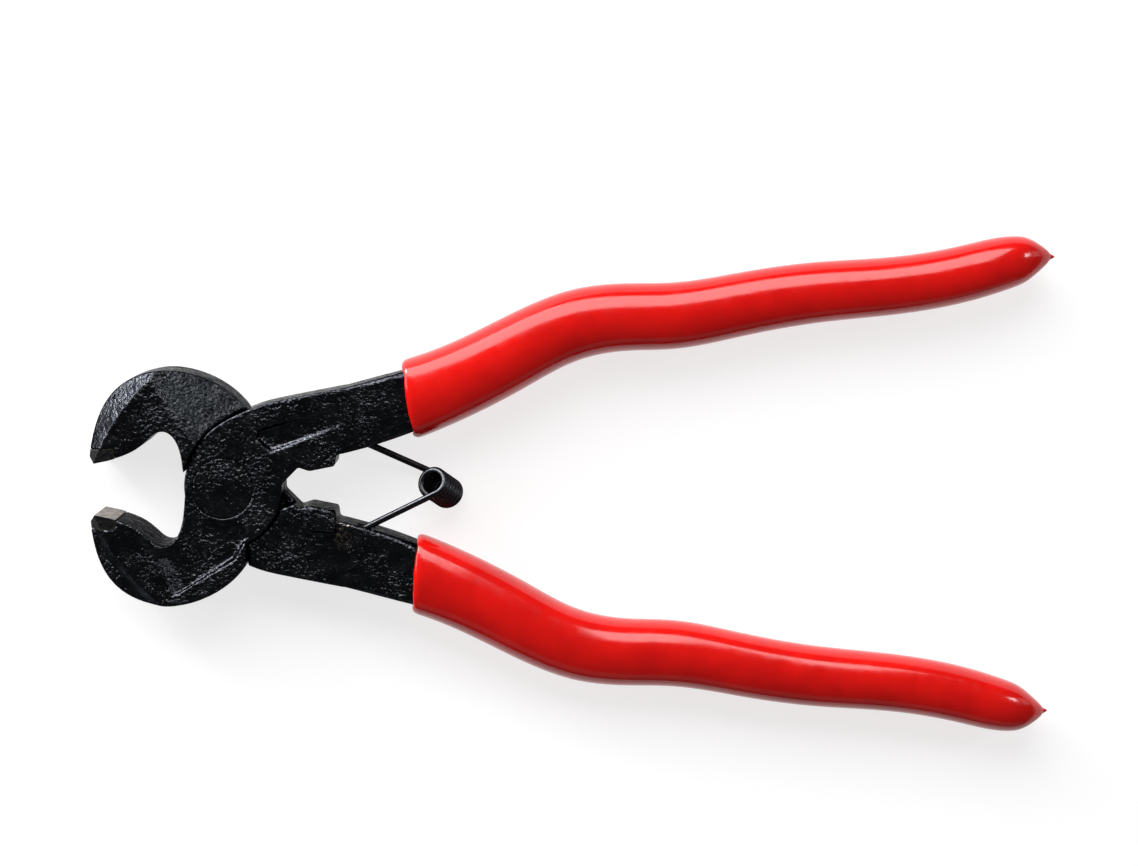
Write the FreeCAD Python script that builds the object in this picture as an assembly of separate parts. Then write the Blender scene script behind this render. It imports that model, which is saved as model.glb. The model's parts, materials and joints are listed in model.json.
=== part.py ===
import FreeCAD, Part
import math
import os

# Spring-opened nipping pliers, lying flat. X runs from the jaws to the handle
# ends, Y across, Z up through the rivet. Everything is drawn with the rivet at
# the origin and lifted at the end. The two levers are the same forging, the
# back one turned half a turn about X. Units are millimetres.

V = FreeCAD.Vector

# ---- lap joint -------------------------------------------------------------
LAP_T = 6.0            # thickness of one lever at the joint
LAP_GAP = 0.05         # from the joint plane to each lever
DISC_R = 12.3          # round side of each joint plate
STOP_X = 4.9           # shoulder that meets the other lever when fully open
HEEL_X = 5.05
SWEEP_GAP = 0.3        # between a plate's edge and the other lever's wall
RIVET_R, HEAD_R, HEAD_T = 4.2, 6.2, 1.5
RIVET_FIT = 0.05

# ---- jaws ------------------------------------------------------------------
JAW_HALF = 7.5         # jaws and carbide tips are 15 wide
BEVEL_C, BEVEL_R = (12.3, 8.4), 41.0   # cone that bevels the outer jaw edge
BACK_SLOPE = 25.0      # degrees, far face of the jaw falling to the joint
TIP_L, TIP_T, BRAZE_T = 4.2, 2.3, 0.15

# ---- arms, spring seats and stops ------------------------------------------
FAR_FACE = 5.0         # arm face on the other lever's side of the joint
ARM_END = 25.0         # the flat arm ends here and the handle bar starts
ARM_MID, MID_X = 0.5, 36.0   # the arm's mid-plane comes down to 0 by here
POCKET_TILT = 4.0      # degrees, the pocket's floor against the arm's face
SEAT = V(28.3, -9.15, 2.2)   # dimple for the spring's end, on the back lever

# ---- handles: along, across (middle), full width, half thickness, corner ----
HANDLE = [(24.6, 13.9, 13.6, 5.5, 0.6), (28.5, 14.9, 13.7, 5.4, 0.7),
          (33.0, 16.15, 13.6, 5.3, 0.9), (37.0, 17.35, 13.3, 5.3, 1.1),
          (43.2, 19.5, 13.0, 5.4, 2.8), (53.2, 23.95, 13.0, 5.6, 3.9),
          (63.3, 29.1, 12.6, 5.6, 4.0), (73.3, 33.45, 10.9, 5.3, 3.8),
          (83.3, 35.05, 9.9, 5.0, 3.5), (93.3, 35.35, 9.7, 4.8, 3.4),
          (108.0, 37.8, 9.2, 4.6, 3.2), (123.4, 40.2, 8.5, 4.5, 3.0),
          (138.4, 41.5, 7.9, 4.4, 2.9), (153.5, 44.0, 7.8, 4.2, 2.8),
          (162.0, 46.1, 7.0, 3.8, 2.6)]
GRIP_END = [(164.0, 46.7, 10.8, 5.3), (166.3, 47.1, 9.6, 4.7), (168.6, 47.45, 6.9, 3.6),
            (170.4, 47.65, 4.0, 2.1), (171.4, 47.75, 1.8, 1.0)]
GRIP_WALL, GRIP_SIDE = 1.6, 2.15  # dip thickness on the faces and on the sides
GRIP_SHIFT = 0.15      # the dip is this much off-centre, to the outside
# dip lines: a point on each and its lean in degrees
UPPER_DIP, LOWER_DIP = ((38.0, 17.9), 8.8), ((39.3, 17.9), 3.6)
LIP_R, GRIP_BULGE = 1.1, 0.17

# ---- spring ----------------------------------------------------------------
WIRE_R, COIL_R = 0.7, 2.7
COIL_NEAR = V(43.3, 1.2, 4.1)
COIL_FAR = V(46.3, -2.1, -4.1)
PITCH = 1.5

# ---- frame: under the middle of the tool, on the ground ----------------------
MIDDLE_X = 72.68
LIFT = JAW_HALF        # the jaws rest on the ground


def loop(start, steps, z=0.0):
    """Closed wire from a start point and steps: ("line", p), ("arc", mid, p)
    or ("curve", p, q, ...), each drawn from where the last one ended."""
    def at(p):
        return V(p[0], p[1], z)
    here, edges = at(start), []
    for kind, *pts in steps:
        pts = [at(p) for p in pts]
        if kind == "line":
            edges.append(Part.LineSegment(here, pts[0]).toShape())
        elif kind == "arc":
            edges.append(Part.Arc(here, pts[0], pts[1]).toShape())
        else:
            curve = Part.BSplineCurve()
            curve.interpolate([here] + pts)
            edges.append(curve.toShape())
        here = pts[-1]
    if here.distanceToPoint(at(start)) > 1e-6:
        edges.append(Part.LineSegment(here, at(start)).toShape())
    return Part.Wire(edges)


def slab(wire, height):
    return Part.Face(wire).extrude(V(0, 0, height))


def polygon(points, z):
    return Part.makePolygon([V(x, y, z) for x, y in points + points[:1]])


def taper(low, z_low, high, z_high):
    """Solid between two polygons with the same number of corners."""
    return Part.makeLoft([polygon(low, z_low), polygon(high, z_high)], True, True)


def cylinder(radius, z0, z1, x=0.0, y=0.0):
    return Part.makeCylinder(radius, z1 - z0, V(x, y, z0), V(0, 0, 1))


def flip(shape):
    """The same forging on the other side: half a turn about X."""
    turned = shape.copy()
    turned.rotate(V(0, 0, 0), V(1, 0, 0), 180)
    return turned


def bar_section(x, across, width, half_t, corner, bulge=0.003):
    """Rounded rectangle standing across the handle at x. Its faces bulge, each
    in proportion to its width, and run smoothly into the corners."""
    w, mid = width / 2, ARM_MID * min(1, max(0, (MID_X - x) / (MID_X - HANDLE[0][0])))
    out, up = bulge * (half_t - corner), bulge * (w - corner)
    cy, cz = w - corner - out, half_t - corner - up         # middle of a corner
    side = (cz ** 2 + (corner + out) ** 2 - corner ** 2) / (2 * out)
    face = (cy ** 2 + (corner + up) ** 2 - corner ** 2) / (2 * up)
    lean_side = math.asin(cz / (side - corner))
    lean_face = math.asin(cy / (face - corner))

    def around(sy, sz, angle):
        return V(x, across + sy * (cy + corner * math.cos(angle)),
                 mid + sz * (cz + corner * math.sin(angle)))

    angles = (lean_side, (lean_side + math.pi / 2 - lean_face) / 2,
              math.pi / 2 - lean_face)
    crowns = [V(x, across, mid + half_t), V(x, across - w, mid),
              V(x, across, mid - half_t), V(x, across + w, mid)]
    corners = [[around(sy, sz, a) for a in (angles if sy == sz else angles[::-1])]
               for sy, sz in ((1, 1), (-1, 1), (-1, -1), (1, -1))]
    edges = []
    for k, pts in enumerate(corners):
        edges.append(Part.Arc(*pts).toShape())
        edges.append(Part.Arc(pts[2], crowns[k], corners[(k + 1) % 4][0]).toShape())
    return Part.Wire(edges)


def bar(stations):
    return Part.makeLoft([bar_section(*s) for s in stations], True, False)


# ---- outlines of the front lever: arm above, jaw below -----------------------
PLATE_EDGE = [(-7.4, 4.0), (-5.6, 8.0), (-3.2, 11.2), (-0.3, 13.5), (4.1, 15.8),
              (8.6, 17.5)]
ARM_OUTER = [(12.3, 18.35), (18.0, 19.5), (ARM_END, 20.85)]
ARM_INNER = [("line", (ARM_END, 7.35)), ("line", (23.6, 6.9)), ("line", (23.4, 5.3)),
             ("arc", (23.2, 4.75), (22.6, 4.5)), ("line", (18.0, 3.58)),
             ("line", (15.7, 4.35)), ("line", (12.27, 0.86))]
JAW_OUTER = [(2.3, -18.9), (-2.7, -22.3), (-7.7, -24.05), (-12.5, -24.5),
             (-17.7, -23.3), (-21.8, -20.8), (-24.7, -17.2), (-26.3, -13.3),
             (-27.25, -8.8)]
TIP = [(-27.3, -6.75), (-26.3, -5.35), (-23.4, -5.95)]
JAW_INNER = [(-20.3, -6.95), (-17.7, -8.2), (-15.2, -10.2), (-13.3, -11.7),
             (-11.7, -11.9), (-10.2, -11.0), (-8.9, -8.8), (-8.1, -5.0),
             (-7.8, -1.5)]
RECESS = [(-9.6, -10.6), (-11.3, -14.4), (-7.8, -21.0), (2.0, -14.2), (4.0, -11.0)]
RECESS_RIM = [(-12.2, -10.4), (-14.4, -14.6), (-11.4, -23.0), (2.9, -15.0),
              (4.9, -11.3)]
POCKET = [(7.7, 10.4), (10.3, 8.3), (25.6, 13.5), (25.6, 17.2), (7.9, 11.7)]
POCKET_RIM = [(6.9, 10.1), (10.1, 7.3), (26.6, 12.9), (26.6, 18.2), (7.1, 12.4)]


def disc_point(degrees, radius=DISC_R):
    a = math.radians(degrees)
    return (radius * math.cos(a), radius * math.sin(a))


def head_outline(z):
    """Arm, joint plate and jaw as seen from the front."""
    corner = (STOP_X, -math.sqrt(DISC_R ** 2 - STOP_X ** 2))
    return loop((-7.8, -1.5), [("curve", *PLATE_EDGE, *ARM_OUTER)] + ARM_INNER + [
        ("arc", disc_point(-32), corner), ("line", (STOP_X, -15.9)),
        ("curve", *JAW_OUTER), ("line", TIP[0]), ("line", TIP[1]), ("line", TIP[2]),
        ("curve", *JAW_INNER)], z)


def other_plate(gap):
    """Room below the joint plane for the other lever's plate, jaw side."""
    edge = [(x - gap * 0.7, -y - gap * 0.7) for x, y in PLATE_EDGE]
    return slab(loop((-8.0 - gap, 6.0), [("line", (-8.0 - gap, 1.5)), ("curve", *edge),
                                         ("line", (30, -17.5)), ("line", (30, 6.0))],
                     -JAW_HALF - 1), JAW_HALF + 1 + LAP_GAP)


def lever():
    jaw_cut = loop((-40, 6), [("line", (-40, -40)), ("line", (STOP_X, -40)),
                              ("line", (STOP_X, -5)), ("line", (-6, 6))], -JAW_HALF)
    whole = slab(head_outline(LAP_GAP), LAP_T - LAP_GAP)
    jaw = slab(head_outline(-JAW_HALF), 2 * JAW_HALF).common(slab(jaw_cut, 2 * JAW_HALF))
    # the raised front of the jaw stops at the sloping edge of the joint recess
    room = [(30, -9), (30, 12), (-12.0, 12)]
    jaw = jaw.cut(taper(RECESS + [(9, -9)] + room[1:], LAP_T,
                        RECESS_RIM + [(9, -9)] + room[1:], JAW_HALF + 0.4))
    # the far face falls from the jaw to the joint
    p, q = V(-7.3, -11.6, -JAW_HALF), V(-13.9, -21.4, -JAW_HALF)
    along = (q - p).normalize()
    inward = V(-along.y, along.x, 0)
    rise = inward * math.cos(math.radians(BACK_SLOPE))
    rise.z = math.sin(math.radians(BACK_SLOPE))
    far = [p + along * 30, p - along * 30]
    wedge = Part.Face(Part.makePolygon([far[0], far[1], far[1] + rise * 40,
                                        far[0] + rise * 40, far[0]]))
    jaw = jaw.cut(wedge.extrude(V(0, 0, -30)))
    jaw = jaw.cut(other_plate(SWEEP_GAP))
    # bevelled outer edge, front and back
    ring = Part.makeCylinder(70, JAW_HALF, V(*BEVEL_C, 0), V(0, 0, 1))
    ring = ring.cut(Part.makeCone(BEVEL_R + JAW_HALF, BEVEL_R, JAW_HALF,
                                  V(*BEVEL_C, 0), V(0, 0, 1)))
    jaw = jaw.cut(ring).cut(ring.mirror(V(0, 0, 0), V(0, 0, 1)))

    # arm below the joint plane starts outside the other plate's swing
    arm_cut = loop((HEEL_X, 30), [("line", (HEEL_X, 8)), ("line", (11.4, 4.6)),
                                  ("line", (14.8, 3.3)), ("line", (ARM_END, 0)),
                                  ("line", (ARM_END, 30))], -FAR_FACE)
    arm = slab(head_outline(-FAR_FACE), FAR_FACE + 1).common(
        slab(arm_cut, FAR_FACE + 1))
    arm = arm.cut(cylinder(DISC_R + 0.35, -FAR_FACE - 1, LAP_GAP))
    arm = arm.common(Part.makeBox(80, 80, 20, V(-40, -40, -FAR_FACE - 5)).fuse(
        slab(head_outline(LAP_GAP), 3)))
    # stop lug, raised on the far face
    lug = taper([(16.6, 4.0), (18.0, 3.58), (22.6, 4.5), (23.4, 5.3), (23.4, 9.5),
                 (16.6, 9.0)], -FAR_FACE,
                [(18.2, 4.3), (18.9, 3.8), (22.4, 4.5), (23.2, 5.4), (23.2, 9.3),
                 (19.4, 8.6)], -FAR_FACE - 1.1)
    pocket = taper(POCKET, LAP_T, POCKET_RIM, LAP_T + 1.2)
    upright = [e for e in pocket.Edges if e.BoundBox.XMax < 11 and e.BoundBox.ZLength > 1]
    pocket = pocket.makeFillet(0.7, upright)
    # its floor runs out towards the handle
    pocket.rotate(V(25.6, 15, LAP_T), V(0, 1, 0), -POCKET_TILT)

    body = whole.fuse([jaw, arm, lug]).removeSplitter()
    body = body.cut(pocket)
    return body


def handle(shape):
    """Adds the bar that the grip is dipped on and sinks the spring seat."""
    joined = shape.fuse(bar(HANDLE)).removeSplitter()
    inward = V(0.93, 0.36, 0).normalize()
    seat = V(SEAT.x, -SEAT.y, -SEAT.z)
    mouth = V(inward.x, -inward.y, 0)
    return joined.cut(Part.makeCone(0.95, 2.6, 3.4, seat - mouth * 0.75, mouth))


def bore(shape, clearance):
    r = RIVET_R + clearance
    shape = shape.cut(cylinder(r, -1, LAP_T + 1))
    return shape.cut(cylinder(HEAD_R + clearance, LAP_T - HEAD_T - clearance, LAP_T + 1))


def tip_block(grow=0.0, wide=JAW_HALF):
    """Carbide tip: its front, its land and the faces brazed to the jaw."""
    heel = (TIP[1][0] + TIP_L, TIP[1][1] - 0.7)
    low = TIP_T + grow
    pts = [TIP[0], TIP[1], (heel[0] + grow, heel[1] + 0.02),
           (heel[0] + grow - 0.3, heel[1] - low), (-27.4, -8.0 - grow)]
    return slab(polygon(pts, -wide), 2 * wide)


def head_block():
    """Jaw outline with its bevels, for trimming the tip."""
    whole = slab(head_outline(-JAW_HALF), 2 * JAW_HALF)
    cone = Part.makeCone(BEVEL_R + JAW_HALF, BEVEL_R, JAW_HALF, V(*BEVEL_C, 0), V(0, 0, 1))
    return whole.common(cone.fuse(cone.mirror(V(0, 0, 0), V(0, 0, 1))))


def rivet():
    shaft = cylinder(RIVET_R, -LAP_T, LAP_T)
    heads = [cylinder(HEAD_R, LAP_T - HEAD_T, LAP_T), cylinder(HEAD_R, -LAP_T, HEAD_T - LAP_T)]
    body = shaft.fuse(heads).removeSplitter()
    rims = [e for e in body.Edges if abs(abs(e.BoundBox.Center.z) - LAP_T) < 1e-3
            and e.BoundBox.ZLength < 1e-3]
    return body.makeChamfer(0.12, rims)


def grip(dip_line):
    """Dipped grip from its slanted mouth to its closed end, on the upper handle."""
    (start_x, start_y), tilt = dip_line
    start, a = V(start_x, start_y, 0), math.radians(tilt)
    lean = V(math.cos(a), math.sin(a), 0)
    core = bar(HANDLE)
    grown = [(x, y + GRIP_SHIFT, w + 2 * GRIP_SIDE, t + GRIP_WALL)
             for x, y, w, t, c in HANDLE if 30 < x < 160]
    rounded = []
    for x, y, w, t in grown + GRIP_END:
        ease = min(1, max(0, (x - 38) / 14))       # squarer at the mouth
        rounded.append((x, y, w, t, (0.5 + 0.2 * ease) * min(t, w / 2), GRIP_BULGE))
    sleeve = bar(rounded)
    nib = Part.makeCone(0.8, 0.35, 1.1, V(171.2, 47.75, 0), V(1, 0, 0))
    sleeve = sleeve.fuse(nib.fuse(Part.makeSphere(0.35, V(172.3, 47.75, 0))))
    side = Part.makeBox(60, 80, 40, V(-60, -40, -20))
    side.rotate(V(0, 0, 0), V(0, 0, 1), tilt)
    side.translate(start)
    sleeve = sleeve.removeSplitter().cut(side)
    lip = [e for e in sleeve.Edges
           if all(abs((v.Point - start).dot(lean)) < 1e-3 for v in e.Vertexes)]
    sleeve = sleeve.makeFillet(LIP_R, lip)
    return sleeve.cut(core)


def wire_through(points, tangents=None):
    curve = Part.BSplineCurve()
    if tangents:
        curve.interpolate(Points=points, InitialTangent=tangents[0],
                          FinalTangent=tangents[1])
    else:
        curve.interpolate(points)
    start, heading = points[0], (points[1] - points[0]).normalize()
    ring = Part.Wire([Part.Circle(start, heading, WIRE_R).toShape()])
    return Part.Wire([curve.toShape()]).makePipeShell([ring], True, False)


def spring_parts():
    """Wound coil with two legs, parted in the middle of the coil."""
    axis = COIL_FAR - COIL_NEAR
    turns_total = axis.Length / PITCH
    axis.normalize()
    side = V(0, 0, 1).cross(axis).normalize()
    up = axis.cross(side)

    def coil(turns, phase=0.0):
        a = 2 * math.pi * (turns + phase)
        return (COIL_NEAR + axis * (PITCH * turns) + side * (COIL_R * math.cos(a))
                - up * (COIL_R * math.sin(a)))

    def heading(turns, phase):
        return (coil(turns + 1e-3, phase) - coil(turns - 1e-3, phase)).normalize()

    # turn the coil until its near leg points at the seat in the lower arm
    near = max((k / 720 for k in range(720)),
               key=lambda ph: heading(0, ph).dot(
                   (coil(0, ph) - SEAT).normalize()))
    # and end it where the far leg points at the seat in the upper arm
    far_seat = V(SEAT.x, -SEAT.y, -SEAT.z)
    last = max((turns_total - 0.5 + k / 720 for k in range(720)),
               key=lambda n: heading(n, near).dot((far_seat - coil(n, near)).normalize()))
    half = round(last / 2 * 4) / 4
    gap = 0.012
    steps = 10

    lead = coil(0, near)
    first = [SEAT + (lead - SEAT) * (k / 4) for k in range(4)]
    first += [coil(half * k / (steps * 3), near) for k in range(steps * 3)]
    first += [coil(half - gap, near)]

    second = [coil(half + gap + (last - half - gap) * k / (steps * 3), near)
              for k in range(steps * 3 + 1)]
    leave, way = second[-1], heading(last, near)
    run = (far_seat - leave).Length
    out = (far_seat - leave).normalize()
    bend = leave + way * (run * 0.25)
    for k in range(1, 9):
        t = k / 8
        aimed = far_seat - out * (run * 0.6)
        second.append(leave * (1 - t) ** 3 + bend * (3 * t * (1 - t) ** 2)
                      + aimed * (3 * t * t * (1 - t)) + far_seat * t ** 3)
    return wire_through(first), wire_through(second)


def main():
    forging = handle(lever())
    block, seat = tip_block(), tip_block(BRAZE_T)
    tip = block.common(head_block())
    braze = seat.common(head_block()).cut(block)
    forging = forging.cut(seat)
    front, back = bore(forging, RIVET_FIT), flip(bore(forging, 0.0))
    near_half, far_half = spring_parts()
    parts = {
        "back_lever": back, "front_lever": front, "rivet": rivet(),
        "upper_tip": flip(tip), "upper_tip_braze": flip(braze),
        "lower_tip": tip, "lower_tip_braze": braze,
        "lower_grip": flip(grip(LOWER_DIP)), "upper_grip": grip(UPPER_DIP),
        "spring_lower_half": near_half, "spring_upper_half": far_half,
    }
    os.makedirs("parts", exist_ok=True)
    for name, shape in parts.items():
        shape.translate(V(-MIDDLE_X, 0, LIFT))
        shape.exportStep("parts/%s.step" % name)


main()
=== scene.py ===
import bpy
import json
import math
from mathutils import Matrix, Vector


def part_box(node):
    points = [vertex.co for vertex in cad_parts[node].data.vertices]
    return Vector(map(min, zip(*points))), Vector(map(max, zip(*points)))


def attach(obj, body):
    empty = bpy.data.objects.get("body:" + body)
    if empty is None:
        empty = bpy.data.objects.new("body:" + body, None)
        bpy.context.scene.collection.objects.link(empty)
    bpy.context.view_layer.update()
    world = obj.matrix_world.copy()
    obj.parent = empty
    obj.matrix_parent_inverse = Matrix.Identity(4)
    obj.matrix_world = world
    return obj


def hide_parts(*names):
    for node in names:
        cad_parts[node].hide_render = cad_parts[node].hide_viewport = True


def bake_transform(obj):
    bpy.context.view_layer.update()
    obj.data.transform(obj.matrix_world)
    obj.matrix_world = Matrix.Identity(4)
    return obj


# Spring-opened nipping pliers, lying open on a white floor: two black enamelled
# forgings, brazed carbide tips, a wire spring and red dipped grips.
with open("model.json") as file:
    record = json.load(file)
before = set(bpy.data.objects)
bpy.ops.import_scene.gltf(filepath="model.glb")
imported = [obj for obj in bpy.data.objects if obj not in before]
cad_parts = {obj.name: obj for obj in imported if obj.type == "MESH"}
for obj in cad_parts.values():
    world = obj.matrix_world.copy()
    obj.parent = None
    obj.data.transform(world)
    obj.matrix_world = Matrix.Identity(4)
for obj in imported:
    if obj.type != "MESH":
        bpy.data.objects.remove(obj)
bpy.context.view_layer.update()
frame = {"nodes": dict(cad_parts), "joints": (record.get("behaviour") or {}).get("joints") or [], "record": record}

MM = 0.001
record = frame["record"]
joints = {j["name"]: j for j in frame["joints"]}
pivot = Vector(joints["jaw_pivot"]["pos_m"])
seat = Vector(joints["spring_leg_pivot"]["pos_m"])
slots = {p["node"]: p["material_slot"] for p in record["subparts"]}
body_of = {n: b for b, nodes in record["behaviour"]["bodies"].items() for n in nodes}
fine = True

# ---- sizes -----------------------------------------------------------------------
LEVER_VOXEL, GRIP_VOXEL = (0.22 * MM, 0.3 * MM) if fine else (0.4 * MM, 0.5 * MM)
LEVER_PASSES = 12
GRIP_PASSES = 60 if fine else 24
NIB_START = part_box("upper_grip")[1][0] - 3.0 * MM
NIB_FADE = 1.5 * MM
NIB_SPARED = 0.93

WIRE_R, COIL_R, PITCH = 0.7 * MM, 2.7 * MM, 1.5 * MM
COIL_NEAR = pivot + Vector((43.3, 1.2, 4.1)) * MM
COIL_FAR = pivot + Vector((46.3, -2.1, -4.1)) * MM
WIRE_SIDES, STEPS_PER_TURN, NEAR_LEG_STEPS, FAR_LEG_STEPS = 20, 40, 12, 24

# where the spring's lower end has rubbed the enamel beside its seat
RUBBED_SPOT = seat + Vector((-3.2, -0.4, 3.3)) * MM

CAMERA_AT = pivot + Vector((71.8, 71.0, 600)) * MM
CAMERA_AIM = pivot + Vector((71.8, 11.0, 0)) * MM
LENS_MM, SENSOR_MM = 91.4, 36
FLOOR_SIZE, FLOOR_HEIGHT = 8, -0.2 * MM

# ---- colours, linear -------------------------------------------------------------
ENAMEL, ENAMEL_THIN = (0.030, 0.032, 0.037), (0.060, 0.063, 0.071)
WORN_EDGE, RUBBED_BARE = (0.10, 0.105, 0.115), (0.30, 0.245, 0.20)
VINYL, VINYL_DEEP = (0.56, 0.0050, 0.0032), (0.48, 0.0035, 0.0026)
CARBIDE, CARBIDE_DARK = (0.20, 0.175, 0.155), (0.10, 0.09, 0.084)
OVERSPRAY = (0.003, 0.003, 0.0035)
BRAZE, BRAZE_DARK = (0.03, 0.024, 0.015), (0.006, 0.005, 0.004)
WIRE = (0.04, 0.041, 0.045)
ENAMEL_TINT, WIRE_TINT = (0.12, 0.12, 0.13, 1), (0.2, 0.2, 0.21, 1)
WHITE = (1, 1, 1, 1)


# ---- small node-graph helpers ----------------------------------------------------
def material(name, color, roughness, metallic=0.0, **constants):
    """A plain material, and its shader for textures to be linked to."""
    mat = bpy.data.materials.new(name)
    mat.use_nodes = True
    shader = mat.node_tree.nodes["Principled BSDF"]
    shader.inputs["Base Color"].default_value = (*color, 1)
    shader.inputs["Roughness"].default_value = roughness
    shader.inputs["Metallic"].default_value = metallic
    for key, value in constants.items():
        shader.inputs[key.replace("_", " ")].default_value = value
    return mat, shader


class Graph:
    """Shorthand for procedural textures measured in object space."""

    def __init__(self, mat):
        self.tree = mat.node_tree
        self.place = self.tree.nodes.new("ShaderNodeTexCoord").outputs["Object"]

    def link(self, a, b):
        self.tree.links.new(a, b)

    def noise(self, size_mm, detail, roughness=0.55):
        where = self.tree.nodes.new("ShaderNodeMapping")
        where.inputs["Scale"].default_value = [1 / (size_mm * MM)] * 3
        self.link(self.place, where.inputs["Vector"])
        n = self.tree.nodes.new("ShaderNodeTexNoise")
        n.inputs["Scale"].default_value = 1.0
        n.inputs["Detail"].default_value = detail
        n.inputs["Roughness"].default_value = roughness
        self.link(where.outputs["Vector"], n.inputs["Vector"])
        return n.outputs["Fac"]

    def blotches(self, size_mm, detail, low, high, a=0.0, b=1.0, roughness=0.55):
        """Noise with more contrast: a where it is below low, b where it is above high."""
        return self.ramp(self.noise(size_mm, detail, roughness), low, high, a, b)

    def edges(self, low, high):
        """0 on flats to 1 on sharp outward edges."""
        return self.ramp(self.tree.nodes.new("ShaderNodeNewGeometry").outputs["Pointiness"],
                         low, high)

    def distance(self, point, squeeze):
        """Distance from a point, in metres, with each direction scaled."""
        m = self.tree.nodes.new("ShaderNodeMapping")
        m.inputs["Location"].default_value = [-p * q for p, q in zip(point, squeeze)]
        m.inputs["Scale"].default_value = squeeze
        self.link(self.place, m.inputs["Vector"])
        d = self.tree.nodes.new("ShaderNodeVectorMath")
        d.operation = "LENGTH"
        self.link(m.outputs["Vector"], d.inputs[0])
        return d.outputs["Value"]

    def facing(self, axis, low, high):
        """1 where the surface faces along an axis of the piece, either way."""
        x = self.tree.nodes.new("ShaderNodeSeparateXYZ")
        coords = self.tree.nodes.new("ShaderNodeTexCoord")
        self.link(coords.outputs["Normal"], x.inputs["Vector"])
        return self.ramp(self.math("ABSOLUTE", x.outputs[axis], 0), low, high)

    def ramp(self, value, low, high, a=0.0, b=1.0):
        m = self.tree.nodes.new("ShaderNodeMapRange")
        m.interpolation_type = "SMOOTHSTEP"
        for key, v in (("From Min", low), ("From Max", high), ("To Min", a), ("To Max", b)):
            m.inputs[key].default_value = v
        self.link(value, m.inputs["Value"])
        return m.outputs["Result"]

    def math(self, op, a, b):
        m = self.tree.nodes.new("ShaderNodeMath")
        m.operation = op
        for k, v in enumerate((a, b)):
            if isinstance(v, (int, float)):
                m.inputs[k].default_value = v
            else:
                self.link(v, m.inputs[k])
        return m.outputs["Value"]

    def mix(self, fac, a, b):
        """Colour a where fac is 0, b where it is 1; each a colour or another mix."""
        m = self.tree.nodes.new("ShaderNodeMix")
        m.data_type = "RGBA"
        self.link(fac, m.inputs["Factor"])
        for k, v in ((6, a), (7, b)):
            if isinstance(v, tuple):
                m.inputs[k].default_value = (*v, 1)
            else:
                self.link(v, m.inputs[k])
        return m.outputs[2]

    def bump(self, height, depth_mm, strength=1.0, after=None):
        b = self.tree.nodes.new("ShaderNodeBump")
        b.inputs["Strength"].default_value = strength
        b.inputs["Distance"].default_value = depth_mm * MM
        self.link(height, b.inputs["Height"])
        if after is not None:
            self.link(after, b.inputs["Normal"])
        return b.outputs["Normal"]


# ---- materials -------------------------------------------------------------------
def enamel(name, scrape=None):
    """Black enamel over a rough forging; scrape is a point rubbed bare by the spring."""
    # metallic with a dark tint: it reflects like dark glaze, with little at the rims
    mat, s = material(name, (0.03, 0.03, 0.03), 0.3, 1.0, Specular_Tint=ENAMEL_TINT)
    g = Graph(mat)
    grain, lumps = g.noise(0.8, 2, roughness=0.6), g.noise(3.6, 2)
    patchy = g.math("MULTIPLY", grain, g.blotches(9.0, 2, 0.35, 0.65, a=0.45))
    skin = g.bump(lumps, depth_mm=0.22)
    g.link(g.bump(patchy, depth_mm=0.46, after=skin), s.inputs["Normal"])

    shade = g.mix(g.blotches(3.0, 4, 0.4, 0.75), ENAMEL, ENAMEL_THIN)
    worn = g.math("MULTIPLY", g.edges(0.53, 0.60), g.blotches(1.3, 4, 0.45, 0.62))
    shade = g.mix(worn, shade, WORN_EDGE)
    if scrape is not None:
        near = g.ramp(g.distance(scrape, (1.0, 0.55, 1.0)), 1.2 * MM, 2.6 * MM, 1, 0)
        scratched = g.math("MULTIPLY", near, g.blotches(0.8, 4, 0.52, 0.62, roughness=0.7))
        shade = g.mix(scratched, shade, RUBBED_BARE)
    g.link(shade, s.inputs["Base Color"])
    g.link(g.blotches(1.6, 3, 0.35, 0.7, 0.14, 0.26), s.inputs["Roughness"])
    return mat


def dipped_vinyl():
    mat, s = material("red_dip", (0.42, 0.003, 0.0025), 0.15)
    g = Graph(mat)
    skin = g.bump(g.noise(1.1, 1.5), depth_mm=0.010, strength=0.3)
    g.link(g.bump(g.noise(7.0, 1.5), depth_mm=0.10, strength=0.5, after=skin),
           s.inputs["Normal"])
    g.link(g.mix(g.blotches(9.0, 3, 0.35, 0.7), VINYL, VINYL_DEEP), s.inputs["Base Color"])
    g.link(g.blotches(2.2, 3, 0.35, 0.7, 0.12, 0.2), s.inputs["Roughness"])
    return mat


def carbide():
    """Ground bare on the faces along Y, with dark overspray on the others."""
    mat, s = material("carbide", (0.22, 0.19, 0.165), 0.5, Specular_IOR_Level=0.12)
    g = Graph(mat)
    g.link(g.bump(g.noise(0.7, 2), depth_mm=0.25), s.inputs["Normal"])
    ground = g.mix(g.blotches(1.2, 4, 0.35, 0.65), CARBIDE, CARBIDE_DARK)
    bare = g.math("ADD", g.facing("Y", 0.75, 0.93), g.blotches(0.8, 3, 0.62, 0.8, b=0.25))
    g.link(g.mix(bare, OVERSPRAY, ground), s.inputs["Base Color"])
    return mat


def braze():
    mat, s = material("braze", BRAZE, 0.42, Specular_IOR_Level=0.25)
    g = Graph(mat)
    g.link(g.mix(g.blotches(0.8, 3, 0.4, 0.6), BRAZE, BRAZE_DARK), s.inputs["Base Color"])
    return mat


def wire_steel():
    mat, s = material("spring_wire", WIRE, 0.3, 1.0, Specular_Tint=WIRE_TINT)
    g = Graph(mat)
    g.link(g.bump(g.noise(0.18, 2), depth_mm=0.008, strength=0.5), s.inputs["Normal"])
    g.link(g.blotches(0.8, 3, 0.35, 0.7, 0.2, 0.38), s.inputs["Roughness"])
    return mat


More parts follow.
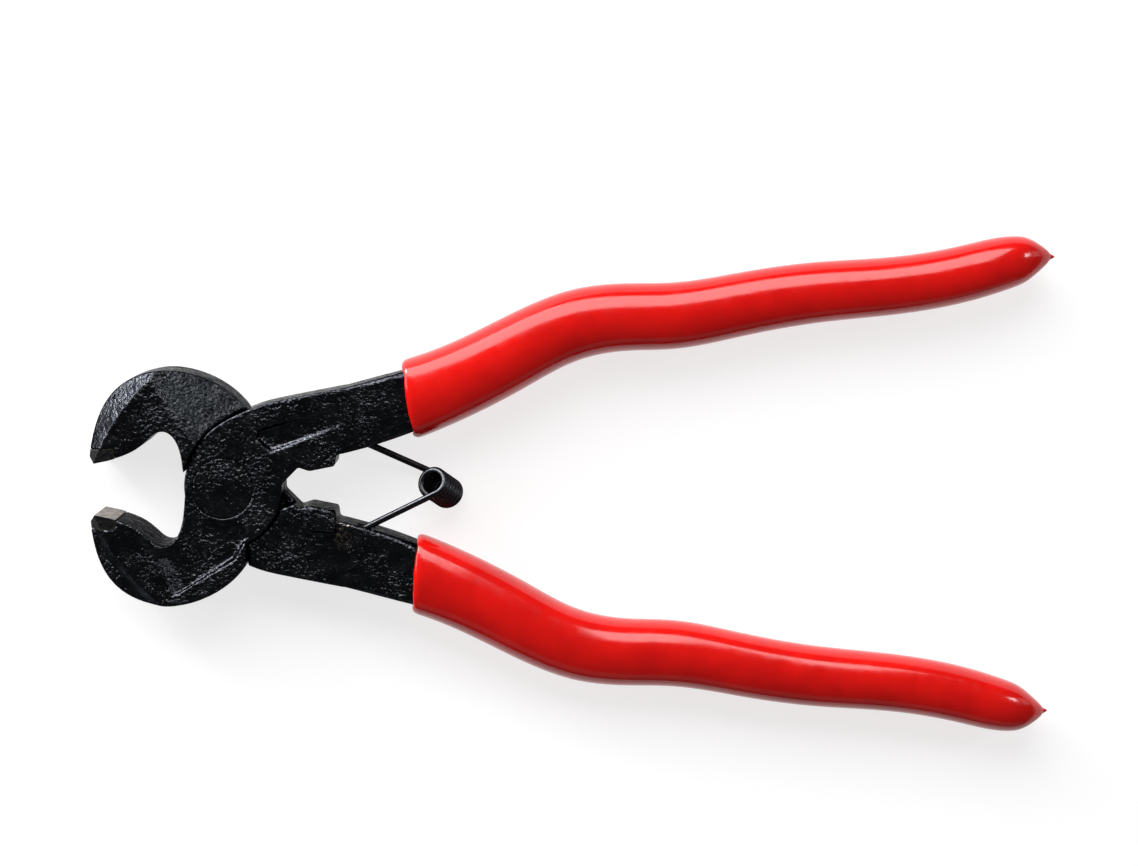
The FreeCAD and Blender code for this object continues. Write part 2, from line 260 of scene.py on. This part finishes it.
MATERIALS = {"forged_steel": enamel("black_enamel"), "rivet_steel": enamel("rivet_enamel"),
             "scraped": enamel("scraped_enamel", RUBBED_SPOT), "carbide": carbide(),
             "braze": braze(), "red_dip": dipped_vinyl(), "spring_wire": wire_steel()}


def paint(obj, slot, look=None):
    obj.data.materials.clear()
    obj.data.materials.append(MATERIALS[look or slot])


# ---- forged and dipped pieces: the CAD shape with its edges eased ----------------
def apply_modifiers(obj):
    for m in list(obj.modifiers):
        bpy.ops.object.modifier_apply(modifier=m.name)


def spared_group(obj, start):
    """A vertex group whose weights fall from 1 to nearly 0 past start, along X."""
    group = obj.vertex_groups.new(name="eased")
    for v in obj.data.vertices:
        past = (v.co.x - start) / NIB_FADE
        group.add([v.index], 1.0 - NIB_SPARED * min(max(past, 0.0), 1.0), "REPLACE")
    return group.name


def eased(node, name, voxel, passes, look=None, spare_from=None):
    """A copy of a CAD node with its hard edges eased, except past spare_from along X."""
    src = frame["nodes"][node]
    obj = src.copy()
    obj.data = src.data.copy()
    obj.name = obj.data.name = name
    obj.parent = None
    bpy.context.scene.collection.objects.link(obj)
    for other in bpy.context.selected_objects:
        other.select_set(False)
    bpy.context.view_layer.objects.active = obj
    obj.select_set(True)

    weld = obj.modifiers.new("weld", "WELD")
    weld.merge_threshold = 1e-6
    remesh = obj.modifiers.new("remesh", "REMESH")
    remesh.mode = "VOXEL"
    remesh.voxel_size = voxel
    apply_modifiers(obj)
    smooth = obj.modifiers.new("smooth", "SMOOTH")
    smooth.factor, smooth.iterations = 0.5, passes
    if spare_from is not None:
        smooth.vertex_group = spared_group(obj, spare_from)
    apply_modifiers(obj)

    obj.data.polygons.foreach_set("use_smooth", [True] * len(obj.data.polygons))
    paint(obj, slots[node], look)
    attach(obj, body_of[node])
    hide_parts(node)


eased("back_lever", "back_lever_forging", LEVER_VOXEL, LEVER_PASSES, look="scraped")
eased("front_lever", "front_lever_forging", LEVER_VOXEL, LEVER_PASSES)
for node in ("lower_grip", "upper_grip"):
    eased(node, node + "_dip", GRIP_VOXEL, GRIP_PASSES, spare_from=NIB_START)
for node in ("rivet", "upper_tip", "lower_tip", "upper_tip_braze", "lower_tip_braze"):
    paint(frame["nodes"][node], slots[node])


# ---- spring: one piece of wire ---------------------------------------------------
def across_joint(point):
    """The same place on the other lever: half a turn about X through the rivet."""
    d = Vector(point) - pivot
    return pivot + Vector((d.x, -d.y, -d.z))


def coil_point(n, phase):
    """The wire's centre n turns from the near end of the coil."""
    axis = (COIL_FAR - COIL_NEAR).normalized()
    side = Vector((0, 0, 1)).cross(axis).normalized()
    up = axis.cross(side)
    a = 2 * math.pi * (n + phase)
    return COIL_NEAR + axis * (PITCH * n) + (side * math.cos(a) - up * math.sin(a)) * COIL_R


def wire_path():
    """Centre line of the spring: lower leg, coil, upper leg."""
    tries, small = 720, 1e-3
    far_seat = across_joint(seat)

    def heading(n, phase):
        return (coil_point(n + small, phase) - coil_point(n - small, phase)).normalized()

    # the coil starts where it runs straight on from the lower leg
    phase = max((k / tries for k in range(tries)),
                key=lambda f: heading(0, f).dot((coil_point(0, f) - seat).normalized()))
    # and ends where it best points at the upper leg's seat
    turns = (COIL_FAR - COIL_NEAR).length / PITCH
    last = max((turns - 0.5 + k / tries for k in range(tries)),
               key=lambda n: heading(n, phase).dot(
                   (far_seat - coil_point(n, phase)).normalized()))

    count = round(last * STEPS_PER_TURN)
    start = coil_point(0, phase)
    path = [seat.lerp(start, k / NEAR_LEG_STEPS) for k in range(NEAR_LEG_STEPS)]
    path += [coil_point(last * k / count, phase) for k in range(count + 1)]

    # the upper leg is a cubic curve that leaves the coil smoothly
    leave = path[-1]
    way = (leave - coil_point(last - small, phase)).normalized()
    bend = leave + way * (far_seat - leave).length * 0.25
    aimed = far_seat - (far_seat - leave) * 0.6
    for k in range(1, FAR_LEG_STEPS + 1):
        t = k / FAR_LEG_STEPS
        path.append(leave * (1 - t) ** 3 + bend * (3 * t * (1 - t) ** 2)
                    + aimed * (3 * t * t * (1 - t)) + far_seat * t ** 3)
    return path


def tube(name, path, radius, sides):
    """A mesh of a round bar along a path, with flat ends."""
    verts, faces = [], []
    normal = (path[1] - path[0]).cross(Vector((0, 0, 1))).normalized()
    for i, p in enumerate(path):
        way = (path[min(i + 1, len(path) - 1)] - path[max(i - 1, 0)]).normalized()
        normal = (normal - way * normal.dot(way)).normalized()
        other = way.cross(normal)
        for k in range(sides):
            a = 2 * math.pi * k / sides
            verts.append(p + (normal * math.cos(a) + other * math.sin(a)) * radius)
    for i in range(len(path) - 1):
        for k in range(sides):
            m = (k + 1) % sides
            faces.append((i * sides + k, i * sides + m, (i + 1) * sides + m,
                          (i + 1) * sides + k))
    end = (len(path) - 1) * sides
    faces += [tuple(reversed(range(sides))), tuple(range(end, end + sides))]
    mesh = bpy.data.meshes.new(name)
    mesh.from_pydata(verts, [], faces)
    mesh.polygons.foreach_set("use_smooth", [len(f) == 4 for f in faces])
    return mesh


def spring():
    mesh = tube("spring_wire", wire_path(), WIRE_R, WIRE_SIDES)
    obj = bpy.data.objects.new("spring_wire", mesh)
    bpy.context.scene.collection.objects.link(obj)
    paint(obj, "spring_wire")
    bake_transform(obj)
    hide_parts("spring_lower_half", "spring_upper_half")


spring()


# ---- floor, light and camera -----------------------------------------------------
def looking(location, aim):
    """Rotation for a camera or light at location facing aim, with +Y up in view."""
    back = (Vector(location) - Vector(aim)).normalized()
    right = Vector((0, 1, 0)).cross(back).normalized()
    return Matrix((right, back.cross(right), back)).transposed().to_euler()


def white_floor():
    bpy.ops.mesh.primitive_plane_add(size=FLOOR_SIZE, location=(0, 0, FLOOR_HEIGHT))
    floor = bpy.context.object
    floor.name = "floor"
    mat, shader = material("floor_white", (0.3, 0.3, 0.3), 0.9, Specular_IOR_Level=0.0)
    shader.inputs["Emission Color"].default_value = WHITE
    shader.inputs["Emission Strength"].default_value = 0.75
    floor.data.materials.append(mat)


def softbox(name, location, size, power, aim=(0, 0, 0)):
    light = bpy.data.lights.new(name, "AREA")
    light.shape = "RECTANGLE"
    light.size, light.size_y = size
    light.energy = power
    obj = bpy.data.objects.new(name, light)
    obj.location = location
    obj.rotation_euler = looking(location, aim)
    bpy.context.scene.collection.objects.link(obj)


def soft_surroundings(strength):
    world = bpy.data.worlds.new("studio")
    world.use_nodes = True
    background = world.node_tree.nodes["Background"]
    background.inputs["Color"].default_value = WHITE
    background.inputs["Strength"].default_value = strength
    bpy.context.scene.world = world


def aim_camera():
    camera = bpy.data.objects.new("camera", bpy.data.cameras.new("camera"))
    bpy.context.scene.collection.objects.link(camera)
    camera.location = CAMERA_AT
    camera.rotation_euler = looking(CAMERA_AT, CAMERA_AIM)
    camera.data.lens, camera.data.sensor_width = LENS_MM, SENSOR_MM
    camera.data.clip_start = 0.05
    bpy.context.scene.camera = camera


white_floor()
softbox("key", location=(-0.3, 0.66, 0.46), size=(1.4, 0.58), power=15)
softbox("back_fill", location=(0.1, -0.85, 0.35), size=(1.3, 0.35), power=0.3)
softbox("left_fill", location=(-0.8, 0.3, 0.35), size=(0.5, 0.5), power=3)
softbox("bevel_strip", location=(-0.6, 0.55, 0.12), size=(0.5, 0.16), power=7)
softbox("right_fill", location=(0.95, 0.3, 0.3), size=(0.4, 0.3), power=0.4)
softbox("recess_spot", location=(0.61, 0.255, 0.50), size=(0.13, 0.13), power=0.7,
        aim=(-0.085, -0.017, 0.01))
soft_surroundings(0.08)
bpy.context.scene.view_settings.view_transform = "Standard"
aim_camera()

bpy.context.view_layer.update()
